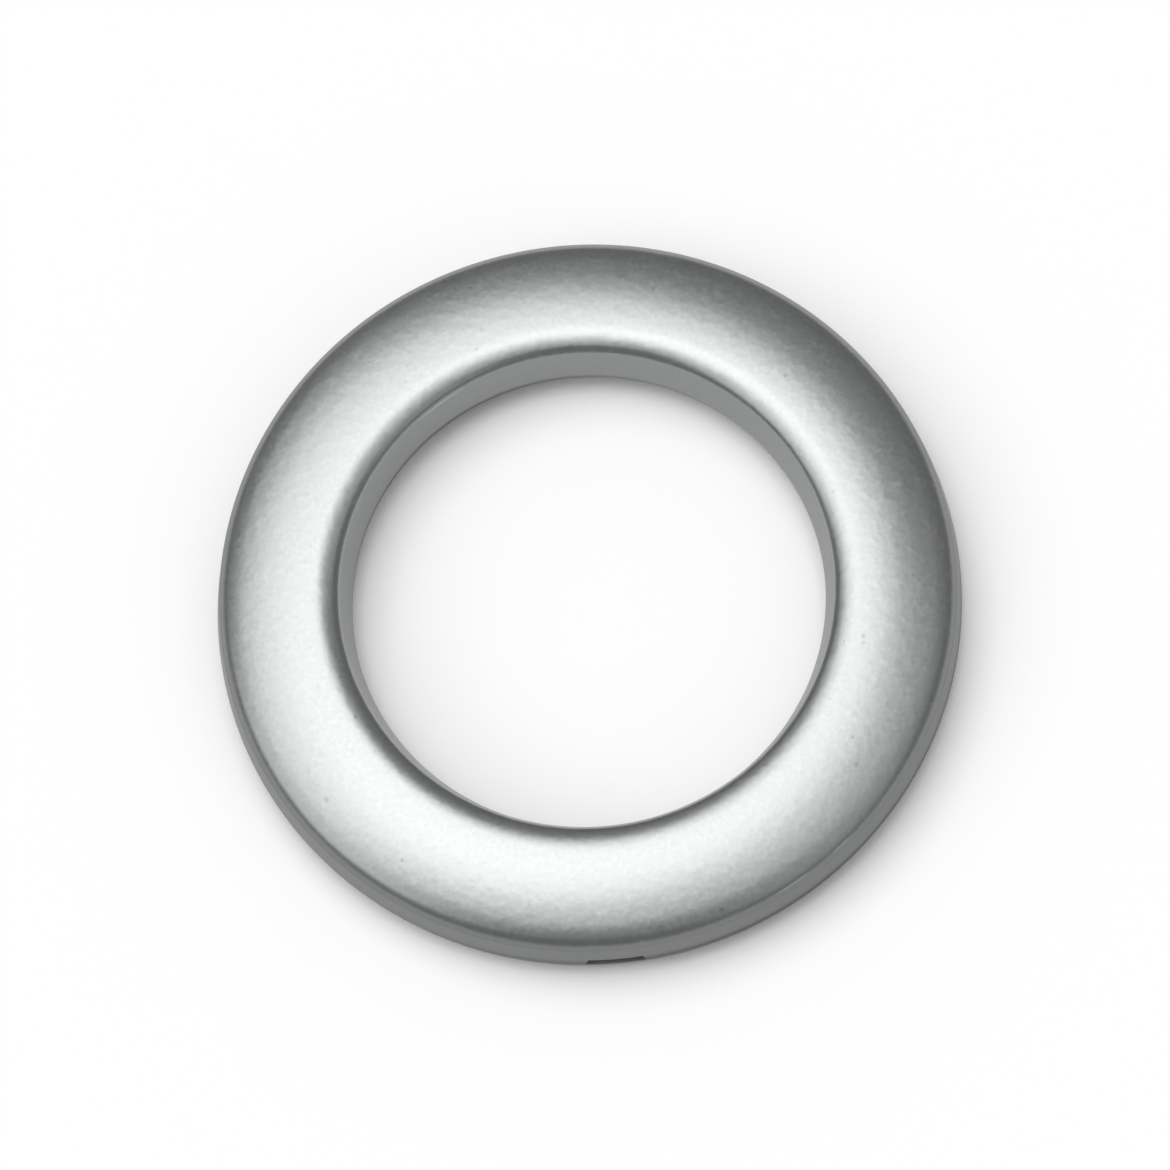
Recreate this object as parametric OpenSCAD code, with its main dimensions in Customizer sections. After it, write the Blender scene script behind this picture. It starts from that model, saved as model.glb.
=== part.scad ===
// Two-part snap-together curtain eyelet, closed and lying face up as it would come to rest.
// The origin is on the axis of the hole, in the plane that the back ring rests on. +Z is the axis.
// The front ring is a hollow moulding: a crowned face, an outer wall and a barrel round the hole.
// The back ring is a shallow dish whose ring of claws grips the bead on the outside of that barrel.

/* [Ring] */
// Outside diameter of the front ring, which is widest just above its lower rim
outer_d = 66; // [64:0.5:72]
// Diameter of the straight stretch of the hole
bore_d = 42; // [38:0.5:43]
// Height of the front ring, from its lower rim to the crown of its face
front_h = 5.5; // [5.2:0.05:6]
// Height of the back ring at its outer rim
back_h = 2.1; // [1.9:0.05:2.8]
// Room for the cloth between the two outer rims
cloth_gap = 0.5; // [0.4:0.05:0.9]

/* [Face] */
// Distance of the crown's ridge outside the straight stretch of the hole
crown_out = 3.1; // [2.8:0.1:3.6]
// Radius of the face between the crown and the hole
crown_round = 4.6; // [4.3:0.1:5.4]
// Radius of the lip between the face and the wall of the hole
lip_round = 1.15; // [0.8:0.05:1.3]
// Height at which the straight stretch of the hole ends, above the lower rim
land_h = 1.3; // [1:0.1:1.8]
// Lean of the hole's wall above the straight stretch, in degrees
flare_angle = 13; // [10:0.5:15]
// Height at which the face would meet the outer wall in a sharp corner
shoulder_h = 3.75; // [3.5:0.05:4]
// Slope at which the broad part of the face passes into the brow above the outer wall, in degrees
brow_slope = 16; // [13:1:18]
// Radius of the brow, as a share of the radius of the broad part
brow_share = 0.34; // [0.3:0.02:0.44]
// Radius that rounds the corner of the brow and the outer wall
shoulder_round = 1.7; // [1.65:0.05:2.1]
// Inward lean of the outer wall, in degrees
wall_lean = 8; // [6:0.2:10]
// Radius of the lower edges of the outer wall and of the hole
rim_round = 0.35; // [0.25:0.05:0.5]

/* [Moulding] */
// Thickness of the face and of the outer wall
wall_t = 1.4; // [1.2:0.05:1.6]
// Thickness of the barrel at the straight stretch of the hole
barrel_t = 1.3; // [1.2:0.05:1.5]
// Number of stiffening ribs under the face
rib_count = 12; // [6:1:18]
// Width of a rib at its inner end
rib_w = 1; // [0.8:0.1:1.4]
// Height of a rib's lower edge above the lower rim
rib_rise = 1.6; // [1.2:0.1:2]
// Gap between the claws and the inner end of a rib
rib_gap = 1.4; // [1:0.1:2]

/* [Pry notch] */
// Width of the notch at the lower rim, for the tip of a tool that parts the rings
notch_w = 5.5; // [4:0.1:8]
// Height of the notch
notch_h = 1.2; // [0.8:0.1:1.6]
// How much each end of the notch leans in from the rim to its top
notch_taper = 0.35; // [0.1:0.05:0.6]

/* [Snap] */
// Height of the bead's lower edge above the barrel's end
bead_rise = 0.45; // [0.4:0.05:0.6]
// Height of the bead
bead_h = 0.9; // [0.8:0.05:1.1]
// How far the bead stands out of the barrel
bead_out = 0.3; // [0.2:0.05:0.4]
// Number of claws on the back ring
claw_count = 12; // [8:1:16]
// Width of the slots between the claws
slot_w = 2.4; // [1.5:0.1:3.5]
// Thickness of a claw
claw_t = 0.9; // [0.8:0.05:1.1]
// Height of the nose at the top of a claw
nose_h = 0.9; // [0.7:0.05:1]
// Radial gap between the bead and the noses
snap_gap = 0.05; // [0.03:0.01:0.08]
// Gap above the bead, to the underside of the noses
catch_gap = 0.15; // [0.1:0.05:0.3]
// Radial gap between the bead and the body of a claw
pocket_gap = 0.3; // [0.2:0.05:0.4]
// Gap between the barrel's end and the ledge that carries it
seat_gap = 0.1; // [0.05:0.05:0.2]

/* [Back ring] */
// Thickness of the back ring's plate and rim
back_t = 1.3; // [1.1:0.05:1.5]
// How far the back ring's rim stays inside the front ring's rim
back_in = 0.2; // [0.1:0.05:0.5]
// How much wider the back ring's hole is than the straight stretch, on each side
back_bore_out = 0.5; // [0.4:0.05:0.7]
// Height of the straight edge above the rounded edges of the back ring
edge_flat = 0.15; // [0.1:0.05:0.3]
// Number of teeth that grip the cloth
tooth_count = 60; // [36:4:72]
// Width of a tooth at its root
tooth_w = 0.9; // [0.6:0.1:1.2]
// Gap between a tooth's tip and the front ring's rim
tooth_gap = 0.15; // [0.1:0.05:0.2]
// Distance of a tooth's ends inside both edges of the rim
tooth_margin = 0.25; // [0.2:0.05:0.35]

/* [Hidden] */
$fn = 180;
// Largest turn between two points of a rounded outline, in degrees
arc_step = 4;
// Share of the bead's height that each of its two slopes takes
bead_slope = 0.35;
// Share of the nose's height that its lead-in slope takes
nose_slope = 0.5;
// Share of the wall that a rib reaches into, so that it is one with the moulding
root_share = 0.5;
// Extra length of a cut beyond the surface that it passes
over = 1;

outer_r = outer_d / 2;
bore_r = bore_d / 2;
crown_r = bore_r + crown_out;
barrel_r = bore_r + barrel_t;
bead_r = barrel_r + bead_out;
nose_r = bead_r + snap_gap;
claw_in_r = bead_r + pocket_gap;
claw_out_r = claw_in_r + claw_t;
rib_in_r = claw_out_r + rib_gap;
rim_z = back_h + cloth_gap;
ledge_z = rim_z - seat_gap;
bead_top = bead_rise + bead_h;
nose_z = rim_z + bead_top + catch_gap;
claw_top = nose_z + nose_h;
back_r = outer_r - back_in;
back_bore_r = bore_r + back_bore_out;
edge_round = back_h - edge_flat;
tooth_h = cloth_gap - tooth_gap;
tooth_in_r = back_r - back_t + tooth_margin;
tooth_out_r = back_r - tooth_margin;

// Upward directions along the outer wall and along the flared wall of the hole
wall_dir = [-sin(wall_lean), cos(wall_lean)];
flare_dir = [sin(flare_angle), cos(flare_angle)];
// Directions from each of those walls into the material
wall_in = [-cos(wall_lean), -sin(wall_lean)];
flare_in = [cos(flare_angle), -sin(flare_angle)];

// Distance from the axis at which the leaning outer wall would reach the rim's plane unrounded
foot_r = outer_r + rim_round * (tan(wall_lean) + 1 / cos(wall_lean) - 1);
// Sharp corner that the brow would make with the outer wall, as seen from the crown
corner = [foot_r - shoulder_h * tan(wall_lean) - crown_r, shoulder_h - front_h];
// Centre of the brow, as seen from the crown, for a broad part of radius 1
brow_lead = (1 - brow_share) * [sin(brow_slope), cos(brow_slope)] - [0, 1];
// Radius of the broad part that makes the brow pass through that corner
face_round = fit_radius(brow_lead * brow_lead - pow(brow_share, 2), corner * brow_lead, corner * corner);
brow_round = brow_share * face_round;
face_c = [crown_r, front_h - face_round];
brow_c = [crown_r, front_h] + face_round * brow_lead;
crown_c = [crown_r, front_h - crown_round];
shoulder_c = blend_centre([foot_r, 0], wall_dir, wall_in, shoulder_round, brow_c, brow_round);
lip_c = blend_centre([bore_r, land_h], flare_dir, flare_in, lip_round, crown_c, crown_round);
// Headings at which the face passes into the brow, the brow into the shoulder, and the lip into the crown
brow_turn = 90 - brow_slope;
shoulder_turn = heading(shoulder_c - brow_c);
lip_turn = heading(lip_c - crown_c);
// Centres of the rounded lower edges of the outer wall and of the hole
rim_c = [outer_r - rim_round, rim_round];
mouth_c = [bore_r + rim_round, rim_round];

// Centre of a circle of radius r that touches a wall and, from inside, the arc of radius big_r about c
function blend_centre(start, dir, inwards, r, c, big_r) =
    let (
        base = start + r * inwards,
        q = base - c,
        along = q * dir
    )
    base + dir * (sqrt(along * along - q * q + pow(big_r - r, 2)) - along);

// Smaller solution x of a * x * x - 2 * b * x + c = 0
function fit_radius(a, b, c) = c / (b + sqrt(b * b - a * c));

// Direction of a vector, in degrees
function heading(v) = atan2(v[1], v[0]);

// Points of an arc about c, from one heading to another
function arc(c, r, from, to) =
    let (steps = max(1, ceil(abs(to - from) / arc_step)))
    [for (i = [0 : steps]) let (a = from + (to - from) * i / steps) c + r * [cos(a), sin(a)]];

// Heading at which an arc about c reaches the distance x from the axis
function heading_at(c, r, x) = acos((x - c[0]) / r);

// Distance from the axis of a surface that lies depth inside the outer wall, at height z
function wall_r(depth, z) = foot_r - depth / cos(wall_lean) - z * tan(wall_lean);

// Show surface of the front ring, from the barrel's end over the face to the lower rim
function face_line() = concat(
    arc(mouth_c, rim_round, 270, 180),
    [[bore_r, land_h]],
    arc(lip_c, lip_round, 180 - flare_angle, lip_turn),
    arc(crown_c, crown_round, lip_turn, 90),
    arc(face_c, face_round, 90, brow_turn),
    arc(brow_c, brow_round, brow_turn, shoulder_turn),
    arc(shoulder_c, shoulder_round, shoulder_turn, wall_lean),
    arc(rim_c, rim_round, wall_lean, -90)
);

// Wall of the channel under the face, from the lower rim to the bead and the barrel's end
function channel_line() = concat(
    [[wall_r(wall_t, 0), 0]],
    arc(shoulder_c, shoulder_round - wall_t, wall_lean, shoulder_turn),
    arc(brow_c, brow_round - wall_t, shoulder_turn, brow_turn),
    arc(face_c, face_round - wall_t, brow_turn, 90),
    arc(crown_c, crown_round - wall_t, 90, heading_at(crown_c, crown_round - wall_t, barrel_r)),
    [
        [barrel_r, bead_top],
        [bead_r, bead_top - bead_h * bead_slope],
        [bead_r, bead_rise + bead_h * bead_slope],
        [barrel_r, bead_rise],
        [barrel_r, 0]
    ]
);

// Outline of a stiffening rib, whose edge lies inside the face and the outer wall
function rib_line(depth) = concat(
    [[rib_in_r, rib_rise]],
    arc(face_c, face_round - depth, heading_at(face_c, face_round - depth, rib_in_r), brow_turn),
    arc(brow_c, brow_round - depth, brow_turn, shoulder_turn),
    arc(shoulder_c, shoulder_round - depth, shoulder_turn, wall_lean),
    [[wall_r(depth, rib_rise), rib_rise]]
);

module ribs() {
    span = rib_w / rib_in_r * 180 / PI;
    for (i = [0 : rib_count - 1])
        rotate([0, 0, (i + 0.5) * 360 / rib_count - 90 - span / 2])
            rotate_extrude(angle = span)
                polygon(rib_line(wall_t * root_share));
}

// Cutter for the pry notch through the outer wall, on the -Y side
module notch_cutter() {
    half = notch_w / 2;
    translate([0, -outer_r - over, 0])
        rotate([90, 0, 180])
            linear_extrude(height = wall_t + 2 * over)
                polygon([
                    [-half, -over],
                    [half, -over],
                    [half, 0],
                    [half - notch_taper, notch_h],
                    [notch_taper - half, notch_h],
                    [-half, 0]
                ]);
}

module front_ring() {
    color("silver")
        translate([0, 0, rim_z])
            difference() {
                union() {
                    rotate_extrude() polygon(concat(face_line(), channel_line()));
                    ribs();
                }
                notch_cutter();
            }
}

// Dish with its ledge and the collar that the claws are cut from
module dish() {
    hole_edge_c = [back_bore_r + edge_round, edge_round];
    outer_edge_c = [back_r - edge_round, edge_round];
    rotate_extrude()
        polygon(concat(
            [[back_bore_r, ledge_z]],
            arc(hole_edge_c, edge_round, 180, 270),
            arc(outer_edge_c, edge_round, -90, 0),
            [[back_r, back_h], [back_r - back_t, back_h]],
            arc(outer_edge_c, edge_round - back_t, 0, -90),
            [
                [claw_out_r, back_t],
                [claw_out_r, claw_top],
                [claw_in_r, claw_top],
                [nose_r, claw_top - nose_h * nose_slope],
                [nose_r, nose_z],
                [claw_in_r, nose_z],
                [claw_in_r, ledge_z]
            ]
        ));
}

// Cutters for the slots that part the collar into claws
module slot_cutters() {
    for (i = [0 : claw_count - 1])
        rotate([0, 0, (i + 0.5) * 360 / claw_count])
            translate([nose_r - over, -slot_w / 2, ledge_z])
                cube([claw_out_r - nose_r + 2 * over, slot_w, claw_top - ledge_z + over]);
}

// Ridge on the rim that points to the axis. Its flanks run on below the rim's surface.
module tooth() {
    translate([tooth_in_r, 0, back_h])
        rotate([90, 0, 90])
            linear_extrude(height = tooth_out_r - tooth_in_r)
                polygon([[-tooth_w, -tooth_h], [tooth_w, -tooth_h], [0, tooth_h]]);
}

module back_ring() {
    color("silver") {
        difference() {
            dish();
            slot_cutters();
        }
        for (i = [0 : tooth_count - 1])
            rotate([0, 0, i * 360 / tooth_count])
                tooth();
    }
}

front_ring();
back_ring();
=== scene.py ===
# %% [markdown]
# # A snap-together curtain eyelet
# This lesson dresses a two-part curtain eyelet: a crowned face ring with a satin silver coat, and the
# clawed back ring that snaps into it behind the cloth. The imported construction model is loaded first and
# never changed. It says where everything is, and the pieces made here take its place in the picture.

# %% Load the construction model
import math

import bmesh
import bpy
from mathutils import Matrix, Vector


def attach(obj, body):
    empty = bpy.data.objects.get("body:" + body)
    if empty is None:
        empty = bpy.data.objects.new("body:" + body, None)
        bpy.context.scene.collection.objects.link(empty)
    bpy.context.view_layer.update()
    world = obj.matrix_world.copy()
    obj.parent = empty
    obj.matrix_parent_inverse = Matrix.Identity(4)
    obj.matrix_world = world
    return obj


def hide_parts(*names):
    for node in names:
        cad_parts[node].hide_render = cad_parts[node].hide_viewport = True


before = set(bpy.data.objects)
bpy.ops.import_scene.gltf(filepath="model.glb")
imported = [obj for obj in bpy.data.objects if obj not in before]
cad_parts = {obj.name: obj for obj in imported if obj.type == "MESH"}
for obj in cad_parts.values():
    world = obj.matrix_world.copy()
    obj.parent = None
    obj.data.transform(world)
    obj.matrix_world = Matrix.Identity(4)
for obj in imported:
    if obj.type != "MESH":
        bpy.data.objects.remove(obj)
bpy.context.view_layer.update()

# %% [markdown]
# ## Sizes
# The sizes are those of the construction model, in millimetres. Heights on the face ring are counted from its
# own lower rim, and heights on the back ring from the plane that it rests on. Blender works in metres, so each
# length is turned to metres where it is handed over.

# %% Sizes of the face ring
MM = 0.001

OUTER_R = 33.0
BORE_R = 21.0
FRONT_H = 5.5
BACK_H = 2.1
CLOTH_GAP = 0.5
CROWN_OUT = 3.1
CROWN_ROUND = 4.6
LIP_ROUND = 1.15
LAND_H = 1.3
FLARE = 13.0
SHOULDER_H = 3.75
BROW_SLOPE = 16.0
BROW_SHARE = 0.34
SHOULDER_ROUND = 1.7
LEAN = 8.0
RIM_ROUND = 0.35
WALL_T = 1.4
BARREL_T = 1.3
RIB_COUNT = 12
RIB_WIDTH = 1.0
RIB_RISE = 1.6
RIB_GAP = 1.4
NOTCH_W = 5.5
NOTCH_H = 1.2
NOTCH_TAPER = 0.35
NOTCH_DEPTH = 2.6
CUT_PAST = 1.0

RIM_Z = BACK_H + CLOTH_GAP
CROWN_R = BORE_R + CROWN_OUT
BARREL_R = BORE_R + BARREL_T
print("face ring:", 2 * OUTER_R, "mm across, hole", 2 * BORE_R, "mm, lower rim at", round(RIM_Z, 2), "mm")

# %% Sizes of the snap and of the back ring
BEAD_OUT = 0.3
BEAD_RISE = 0.45
BEAD_H = 0.9
SLOPE_SHARE = 0.35
SNAP_GAP = 0.05
CATCH_GAP = 0.15
POCKET_GAP = 0.3
SEAT_GAP = 0.1
CLAW_COUNT = 12
CLAW_T = 0.9
NOSE_H = 0.9
SLOT_WIDTH = 2.4
BACK_T = 1.3
BACK_IN = 0.2
BACK_BORE_OUT = 0.5
EDGE_FLAT = 0.15
TOOTH_COUNT = 60
TOOTH_HALF = 0.45
TOOTH_GAP = 0.15
TOOTH_MARGIN = 0.25
MOULD_EDGE = 0.1

BEAD_R = BARREL_R + BEAD_OUT
BEAD_SLOPE = SLOPE_SHARE * BEAD_H
NOSE_R = BEAD_R + SNAP_GAP
CLAW_IN_R = BEAD_R + POCKET_GAP
CLAW_OUT_R = CLAW_IN_R + CLAW_T
NOSE_Z = RIM_Z + BEAD_RISE + BEAD_H + CATCH_GAP
CLAW_TOP = NOSE_Z + NOSE_H
RIB_IN_R = CLAW_OUT_R + RIB_GAP
BACK_R = OUTER_R - BACK_IN
BACK_BORE_R = BORE_R + BACK_BORE_OUT
BACK_ROUND = BACK_H - EDGE_FLAT
LEDGE_Z = RIM_Z - SEAT_GAP
TOOTH_H = CLOTH_GAP - TOOTH_GAP
TOOTH_IN_R = BACK_R - BACK_T + TOOTH_MARGIN
TOOTH_OUT_R = BACK_R - TOOTH_MARGIN
print("back ring:", round(2 * BACK_R, 2), "mm across, its claws reach up to", round(CLAW_TOP, 2), "mm")

# %% [markdown]
# ## Outlines
# Both rings are turned shapes: one outline swept round the axis of the hole. A toolmaker draws that outline
# from straight lines and arcs that run into each other without a corner, and so does this cell. An outline
# could be drawn by hand instead, but then neither the highlights nor the wall thickness would be even. The
# arcs have finer steps than the construction model's, which keeps the highlights smooth.

# %% Helpers for outlines
ARC_STEP = 3.0
ARC_CHORD = 0.3
SHARP_TURN = 20
MOST_CUT = 0.45


def corners(*pairs):
    """Points, from pairs of numbers."""
    return [Vector(pair) for pair in pairs]


def heading(v):
    """The way that a vector points, in degrees."""
    return math.degrees(math.atan2(v.y, v.x))


def at(degrees):
    """The unit vector with a given heading."""
    return Vector((math.cos(math.radians(degrees)), math.sin(math.radians(degrees))))


def arc(centre, radius, start, end):
    """Points of an arc, from one heading to another, in degrees."""
    turn = abs(end - start)
    steps = max(2, math.ceil(turn / ARC_STEP), math.ceil(math.radians(turn) * radius / ARC_CHORD))
    return [centre + radius * at(start + (end - start) * i / steps) for i in range(steps + 1)]


def heading_at(centre, radius, x):
    """The heading at which an arc is the distance x from the axis."""
    return math.degrees(math.acos((x - centre.x) / radius))


def blend_centre(start, along, inwards, radius, centre, big_radius):
    """Centre of the circle that touches a straight wall and the inside of a bigger circle."""
    base = start + radius * inwards
    q = base - centre
    run = q.dot(along)
    return base + along * (math.sqrt(run * run - q.dot(q) + (big_radius - radius) ** 2) - run)


def soften(points, radius):
    """Rounds every sharp corner of a closed outline a little, as a mould does."""
    out = []
    for i, p in enumerate(points):
        a, b = points[i - 1] - p, points[(i + 1) % len(points)] - p
        turn = math.degrees(math.pi - a.angle(b))
        cut = radius * math.tan(math.radians(turn) / 2)
        if turn < SHARP_TURN or cut > MOST_CUT * min(a.length, b.length):
            out.append(p)
            continue
        start, end = p + a.normalized() * cut, p + b.normalized() * cut
        out += [start.lerp(p, t).lerp(p.lerp(end, t), t) for t in (0, 0.25, 0.5, 0.75, 1)]
    return out


# %% Arcs of the face
lean, flare = math.radians(LEAN), math.radians(FLARE)
wall_up, wall_in = at(90 + LEAN), at(180 + LEAN)
flare_up, flare_in = at(90 - FLARE), at(-FLARE)
foot_r = OUTER_R + RIM_ROUND * (math.tan(lean) + 1 / math.cos(lean) - 1)
crown = Vector((CROWN_R, FRONT_H))
corner = Vector((foot_r - SHOULDER_H * math.tan(lean), SHOULDER_H)) - crown
brow_lead = (1 - BROW_SHARE) * at(90 - BROW_SLOPE) - Vector((0, 1))
half_b = corner.dot(brow_lead)
face_round = corner.dot(corner) / (half_b + math.sqrt(
    half_b ** 2 - (brow_lead.dot(brow_lead) - BROW_SHARE ** 2) * corner.dot(corner)))
brow_round = BROW_SHARE * face_round
face_c = crown - Vector((0, face_round))
brow_c = crown + face_round * brow_lead
crown_c = crown - Vector((0, CROWN_ROUND))
shoulder_c = blend_centre(Vector((foot_r, 0)), wall_up, wall_in, SHOULDER_ROUND, brow_c, brow_round)
lip_c = blend_centre(Vector((BORE_R, LAND_H)), flare_up, flare_in, LIP_ROUND, crown_c, CROWN_ROUND)
brow_turn = 90 - BROW_SLOPE
shoulder_turn, lip_turn = heading(shoulder_c - brow_c), heading(lip_c - crown_c)
rim_c = Vector((OUTER_R - RIM_ROUND, RIM_ROUND))
mouth_c = Vector((BORE_R + RIM_ROUND, RIM_ROUND))


def wall_r(depth, z):
    """Distance from the axis of a surface that lies depth inside the leaning outer wall."""
    return foot_r - depth / math.cos(lean) - z * math.tan(lean)


print("radius of the face:", round(face_round, 2), "mm, of its brow:", round(brow_round, 2), "mm")

# %% Outlines of the face ring, of a rib and of the notch
def face_ring_outline():
    under_round = CROWN_ROUND - WALL_T
    show = (arc(mouth_c, RIM_ROUND, 270, 180)
            + corners((BORE_R, LAND_H))
            + arc(lip_c, LIP_ROUND, 180 - FLARE, lip_turn)
            + arc(crown_c, CROWN_ROUND, lip_turn, 90)[1:]
            + arc(face_c, face_round, 90, brow_turn)[1:]
            + arc(brow_c, brow_round, brow_turn, shoulder_turn)[1:]
            + arc(shoulder_c, SHOULDER_ROUND, shoulder_turn, LEAN)[1:]
            + arc(rim_c, RIM_ROUND, LEAN, -90))
    under = (corners((wall_r(WALL_T, 0), 0))
             + arc(shoulder_c, SHOULDER_ROUND - WALL_T, LEAN, shoulder_turn)
             + arc(brow_c, brow_round - WALL_T, shoulder_turn, brow_turn)[1:]
             + arc(face_c, face_round - WALL_T, brow_turn, 90)[1:]
             + arc(crown_c, under_round, 90, heading_at(crown_c, under_round, BARREL_R))[1:]
             + corners((BARREL_R, BEAD_RISE + BEAD_H), (BEAD_R, BEAD_RISE + BEAD_H - BEAD_SLOPE),
                       (BEAD_R, BEAD_RISE + BEAD_SLOPE), (BARREL_R, BEAD_RISE), (BARREL_R, 0)))
    return soften(show + under, MOULD_EDGE)


def rib_outline():
    depth = WALL_T / 2
    start = heading_at(face_c, face_round - depth, RIB_IN_R)
    return soften(corners((RIB_IN_R, RIB_RISE))
                  + arc(face_c, face_round - depth, start, brow_turn)
                  + arc(brow_c, brow_round - depth, brow_turn, shoulder_turn)[1:]
                  + arc(shoulder_c, SHOULDER_ROUND - depth, shoulder_turn, LEAN)[1:]
                  + corners((wall_r(depth, RIB_RISE), RIB_RISE)), MOULD_EDGE)


def notch_outline():
    spread = NOTCH_TAPER * CUT_PAST / NOTCH_H
    half = NOTCH_W / 2
    return corners((-half - spread, -CUT_PAST), (half + spread, -CUT_PAST),
                   (half - NOTCH_TAPER, NOTCH_H), (NOTCH_TAPER - half, NOTCH_H))


print("points in the outline of the face ring:", len(face_ring_outline()))

# %% Outlines of the back ring, of a slot and of a tooth
def back_ring_outline():
    hole_c = Vector((BACK_BORE_R + BACK_ROUND, BACK_ROUND))
    edge_c = Vector((BACK_R - BACK_ROUND, BACK_ROUND))
    return soften(corners((BACK_BORE_R, LEDGE_Z))
                  + arc(hole_c, BACK_ROUND, 180, 270)
                  + arc(edge_c, BACK_ROUND, -90, 0)
                  + corners((BACK_R, BACK_H), (BACK_R - BACK_T, BACK_H))
                  + arc(edge_c, BACK_ROUND - BACK_T, 0, -90)
                  + corners((CLAW_OUT_R, BACK_T), (CLAW_OUT_R, CLAW_TOP), (CLAW_IN_R, CLAW_TOP),
                            (NOSE_R, (NOSE_Z + CLAW_TOP) / 2), (NOSE_R, NOSE_Z), (CLAW_IN_R, NOSE_Z),
                            (CLAW_IN_R, LEDGE_Z)), MOULD_EDGE)


def slot_outline():
    half, top = SLOT_WIDTH / 2, CLAW_TOP + CUT_PAST
    return soften(corners((-half, LEDGE_Z), (half, LEDGE_Z), (half, top), (-half, top)), MOULD_EDGE)


def tooth_outline():
    root, tip = BACK_H - TOOTH_H, BACK_H + TOOTH_H
    return soften(corners((-2 * TOOTH_HALF, root), (2 * TOOTH_HALF, root), (0, tip)), MOULD_EDGE / 2)


print("points in the outline of the back ring:", len(back_ring_outline()))

# %% [markdown]
# ## Node trees that sweep the outlines
# Geometry Nodes suit a turned part: one small tree sweeps any outline round the axis, and a second one sets
# out copies of a rib, a slot or a tooth at even angles. Spin in edit mode could do the same once, but a tree
# keeps the counts and sizes as named inputs. The outlines come in as loose edges of one mesh, each with a
# number that says which outline it is.

# %% Helpers for node trees
def new_tree(name, kind, inputs, outputs):
    """A node tree with named sockets, and its input and output nodes."""
    tree = bpy.data.node_groups.new(name, kind)
    for direction, sockets in (("INPUT", inputs), ("OUTPUT", outputs)):
        for label, socket_type, *default in sockets:
            made = tree.interface.new_socket(label, in_out=direction, socket_type="NodeSocket" + socket_type)
            if default:
                made.default_value = default[0]
    return tree, tree.nodes.new("NodeGroupInput"), tree.nodes.new("NodeGroupOutput")


def add(tree, kind, links=None, **settings):
    """Adds a node, sets its properties, and links or sets its inputs by name or place."""
    node = tree.nodes.new(kind)
    for key, value in settings.items():
        setattr(node, key, value)
    for key, value in (links or {}).items():
        if isinstance(value, bpy.types.NodeSocket):
            tree.links.new(value, node.inputs[key])
        else:
            node.inputs[key].default_value = value
    return node


def calc(tree, operation, *values, clamp=False):
    """A Math node, from links or numbers. Returns its output."""
    return add(tree, "ShaderNodeMath", dict(enumerate(values)), operation=operation, use_clamp=clamp).outputs[0]


def one_minus(tree, value, clamp=False):
    """What is left of one when a value is taken from it."""
    return calc(tree, "SUBTRACT", 1.0, value, clamp=clamp)


def vector_calc(tree, operation, *values, scale=None):
    """A Vector Math node, from links or vectors. Returns its output."""
    node = add(tree, "ShaderNodeVectorMath", dict(enumerate(values)), operation=operation)
    if scale is not None:
        tree.links.new(scale, node.inputs["Scale"])
    return node.outputs["Value" if operation in ("LENGTH", "DOT_PRODUCT") else "Vector"]


def clockwise(points):
    """The outline run clockwise, which is the way round that makes the swept faces point outwards."""
    area = sum(a.cross(b) for a, b in zip(points, points[1:] + points[:1]))
    return points if area < 0 else points[::-1]


def outline_mesh(name, outlines):
    """One mesh of closed edge loops, each with its number in the attribute 'outline'."""
    verts, edges, number = [], [], []
    for n, points in enumerate(map(clockwise, outlines)):
        first = len(verts)
        verts += [(p.x * MM, p.y * MM, 0) for p in points]
        edges += [(first + i, first + (i + 1) % len(points)) for i in range(len(points))]
        number += [n] * len(points)
    mesh = bpy.data.meshes.new(name)
    mesh.from_pydata(verts, edges, [])
    mesh.attributes.new("outline", "INT", "POINT").data.foreach_set("value", number)
    return mesh


# %% A tree that picks one outline as a curve
pick_tree, pick_in, pick_out = new_tree(
    "pick outline", "GeometryNodeTree",
    [("Outlines", "Geometry"), ("Number", "Int", 0), ("Spine Radius", "Float", 0.0)], [("Curve", "Geometry")])
which = add(pick_tree, "GeometryNodeInputNamedAttribute", {"Name": "outline"}, data_type="INT")
same = add(pick_tree, "FunctionNodeCompare", data_type="INT", operation="EQUAL")
int_inputs = [s for s in same.inputs if s.type == "INT"]
pick_tree.links.new(which.outputs["Attribute"], int_inputs[0])
pick_tree.links.new(pick_in.outputs["Number"], int_inputs[1])
picked = add(pick_tree, "GeometryNodeSeparateGeometry",
             {"Geometry": pick_in.outputs["Outlines"], "Selection": same.outputs["Result"]}, domain="POINT")
as_curve = add(pick_tree, "GeometryNodeMeshToCurve", {"Mesh": picked.outputs["Selection"]})
back_shift = add(pick_tree, "ShaderNodeCombineXYZ",
                 {"X": calc(pick_tree, "MULTIPLY", pick_in.outputs["Spine Radius"], -1.0)})
# The sweep lays an outline's Y axis downwards, so the outline is turned over first.
turned = add(pick_tree, "GeometryNodeTransform",
             {"Geometry": as_curve.outputs["Curve"], "Translation": back_shift.outputs["Vector"],
              "Rotation": (math.pi, 0, 0)})
pick_tree.links.new(turned.outputs["Geometry"], pick_out.inputs["Curve"])
print("tree:", pick_tree.name)

# %% A tree that sweeps an outline round the axis
RING_STEPS = 360

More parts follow.
